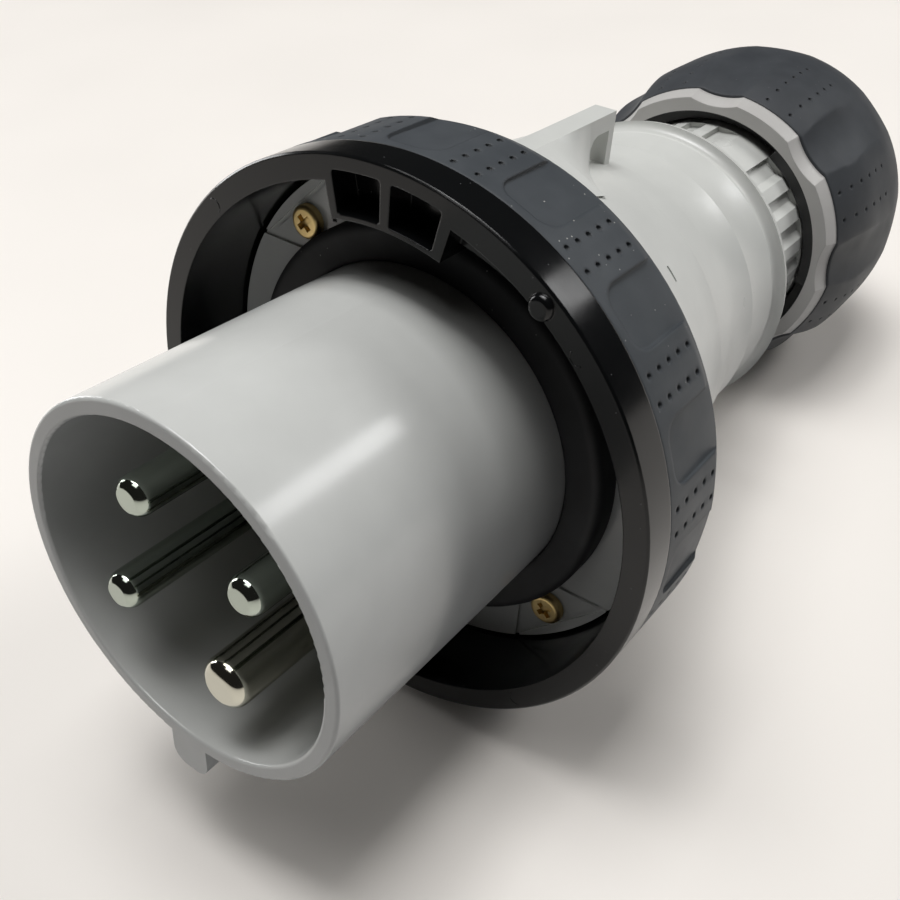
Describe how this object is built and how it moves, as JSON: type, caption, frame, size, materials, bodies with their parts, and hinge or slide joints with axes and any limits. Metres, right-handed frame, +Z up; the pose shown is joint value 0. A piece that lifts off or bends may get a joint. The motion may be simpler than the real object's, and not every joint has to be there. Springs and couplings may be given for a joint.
{
  "type": "industrial plug",
  "caption": "Round power plug with line pins and an earth pin in a keyed mouth tube, a turning bayonet ring with a grip, a lug with an eye, and a screwed cable gland.",
  "frame": {"origin": "centre of the bounding box in plan, at floor height", "axes": "+X from the mouth towards the cable end, +Z up; the plug's own axis lies in the XZ plane and falls 6.4 degrees towards the cable end"},
  "size_m": [0.2166, 0.0952, 0.0968],
  "materials": {
    "body_grey": "satin",
    "ring_black": "semi-gloss",
    "grip_slate": "matt",
    "insert_black": "matt",
    "seal_black": "matt",
    "contact_nickel": "nickel-plated",
    "screw_brass": "bright",
    "screw_steel": "zinc-plated",
    "cage_white": "matt"
  },
  "bodies": {
    "plug": {"shroud": "body_grey", "face_gasket": "seal_black", "flange_seal": "seal_black", "flange_screws": "screw_brass", "contact_carrier": "insert_black", "contact_retainer": "insert_black", "retainer_screws": "screw_steel", "terminal_screws": "screw_steel", "housing": "body_grey", "clamp_cage": "cage_white", "grommet": "seal_black", "line_pin_1": "contact_nickel", "line_pin_2": "contact_nickel", "line_pin_3": "contact_nickel", "earth_pin": "contact_nickel"},
    "ring": {"coupling_ring": "ring_black", "ring_grip": "grip_slate"},
    "thrust": {"thrust_ring": "cage_white"},
    "nut": {"gland_nut": "body_grey", "nut_grip": "grip_slate"}
  },
  "joints": [
    {"name": "ring_turn", "type": "hinge", "parent": "plug", "child": "ring", "pos_m": [-0.05182, 0, 0.04829], "axis": [0.9938, 0, -0.111], "continuous": true},
    {"name": "nut_travel", "type": "slide", "parent": "plug", "child": "thrust", "axis": [-0.9938, 0, 0.111], "range_m": [0, 0.006]},
    {"name": "nut_turn", "type": "hinge", "parent": "thrust", "child": "nut", "pos_m": [0.06942, 0, 0.03474], "axis": [-0.9938, 0, 0.111], "range_deg": [0, 720]}
  ],
  "couplings": [
    {"joint": "nut_travel", "follows": "nut_turn", "m_per_rad": 0.00047746}
  ]
}
